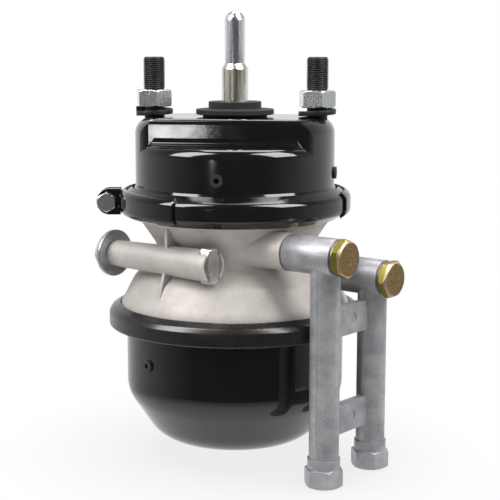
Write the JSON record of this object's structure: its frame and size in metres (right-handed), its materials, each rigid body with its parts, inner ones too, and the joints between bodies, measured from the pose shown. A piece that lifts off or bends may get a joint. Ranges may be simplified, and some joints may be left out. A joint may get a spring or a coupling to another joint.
{
  "type": "air brake chamber",
  "caption": "Combined service and spring brake chamber with push rod, clamp band, cast flange body, side port adapter and stored release bolt.",
  "frame": {"origin": "centre of the mounting face, on the push rod's axis", "axes": "+Z out along the push rod, +X along the line of the two mounting studs, towards the port adapter's side; the ports point 30 degrees from +X towards -Y"},
  "size_m": [0.2278, 0.1897, 0.326],
  "materials": {
    "service_housing": "gloss black enamel on pressed steel",
    "service_vent_plugs": "black moulded plug",
    "mounting_studs": "black phosphated thread",
    "stud_nuts": "bright zinc",
    "stud_spring_washers": "black phosphated spring steel",
    "rod_gaiter": "matt black rubber",
    "service_push_rod": "bright zinc, warm on the lower length",
    "service_push_plate": "zinc plated pressed steel",
    "service_return_spring": "oiled spring steel",
    "service_diaphragm": "fabric reinforced rubber",
    "clamp_band_front": "gloss black enamel",
    "clamp_band_rear": "gloss black enamel",
    "clamp_lug_front": "gloss black enamel",
    "clamp_lug_rear": "gloss black enamel",
    "clamp_far_strap": "gloss black enamel",
    "clamp_bolt": "bright zinc",
    "clamp_nut": "bright zinc",
    "flange_body": "shot blasted die casting",
    "centre_rod_bush": "plain bearing bush",
    "centre_rod_seals": "lip seals",
    "centre_push_rod": "ground steel",
    "spring_piston": "black coated pressed steel",
    "power_spring": "black coated spring steel",
    "spring_diaphragm": "fabric reinforced rubber",
    "spring_housing": "gloss black enamel on deep drawn steel",
    "crimp_ring": "satin black enamel",
    "dust_plug": "black rubber",
    "spring_vent_plug": "black moulded plug",
    "release_bolt": "bright zinc",
    "release_washer": "bright zinc",
    "release_nut": "bright zinc",
    "port_adapter": "as-cast grey alloy",
    "banjo_bolts": null,
    "banjo_seals": "soft metal washers"
  },
  "bodies": {
    "chamber": {"service_housing": "service_housing", "service_vent_plugs": "service_vent_plugs", "mounting_studs": "mounting_studs", "stud_nuts": "stud_nuts", "stud_spring_washers": "stud_spring_washers", "rod_gaiter": "rod_gaiter", "service_return_spring": "service_return_spring", "service_diaphragm": "service_diaphragm", "clamp_band_front": "clamp_band_front", "clamp_band_rear": "clamp_band_rear", "clamp_lug_front": "clamp_lug_front", "clamp_lug_rear": "clamp_lug_rear", "clamp_far_strap": "clamp_far_strap", "clamp_bolt": "clamp_bolt", "clamp_nut": "clamp_nut", "flange_body": "flange_body", "centre_rod_bush": "centre_rod_bush", "centre_rod_seals": "centre_rod_seals", "power_spring": "power_spring", "spring_diaphragm": "spring_diaphragm", "spring_housing": "spring_housing", "crimp_ring": "crimp_ring", "spring_vent_plug": "spring_vent_plug", "port_adapter": "port_adapter", "banjo_bolts": "banjo_bolts", "banjo_seals": "banjo_seals"},
    "push_rod": {"service_push_rod": "service_push_rod", "service_push_plate": "service_push_plate"},
    "spring_piston": {"centre_push_rod": "centre_push_rod", "spring_piston": "spring_piston"},
    "release_bolt": {"release_bolt": "release_bolt"},
    "release_nut": {"release_nut": "release_nut", "release_washer": "release_washer"},
    "dust_plug": {"dust_plug": "dust_plug"}
  },
  "joints": [
    {"name": "spring_piston_slide", "type": "slide", "parent": "chamber", "child": "spring_piston", "axis": [0, 0, 1], "range_m": [-0.06, 0], "stiffness_N_per_m": 1500, "springref_m": 0.1, "deforming": ["power_spring", "spring_diaphragm"]},
    {"name": "push_rod_slide", "type": "slide", "parent": "chamber", "child": "push_rod", "axis": [0, 0, 1], "range_m": [-0.06, 0], "deforming": ["service_return_spring", "service_diaphragm"]},
    {"name": "release_bolt_slide", "type": "slide", "parent": "chamber", "child": "release_bolt", "axis": [0.866, -0.5, 0], "range_m": [0, 0.125]},
    {"name": "release_nut_slide", "type": "slide", "parent": "chamber", "child": "release_nut", "axis": [0.866, -0.5, 0], "range_m": [-0.035, 0]},
    {"name": "dust_plug_pull", "type": "slide", "parent": "chamber", "child": "dust_plug", "axis": [0, 0, 1], "range_m": [-0.02, 0]}
  ],
  "couplings": [
    {"joint": "push_rod_slide", "follows": "spring_piston_slide", "ratio": 1}
  ]
}
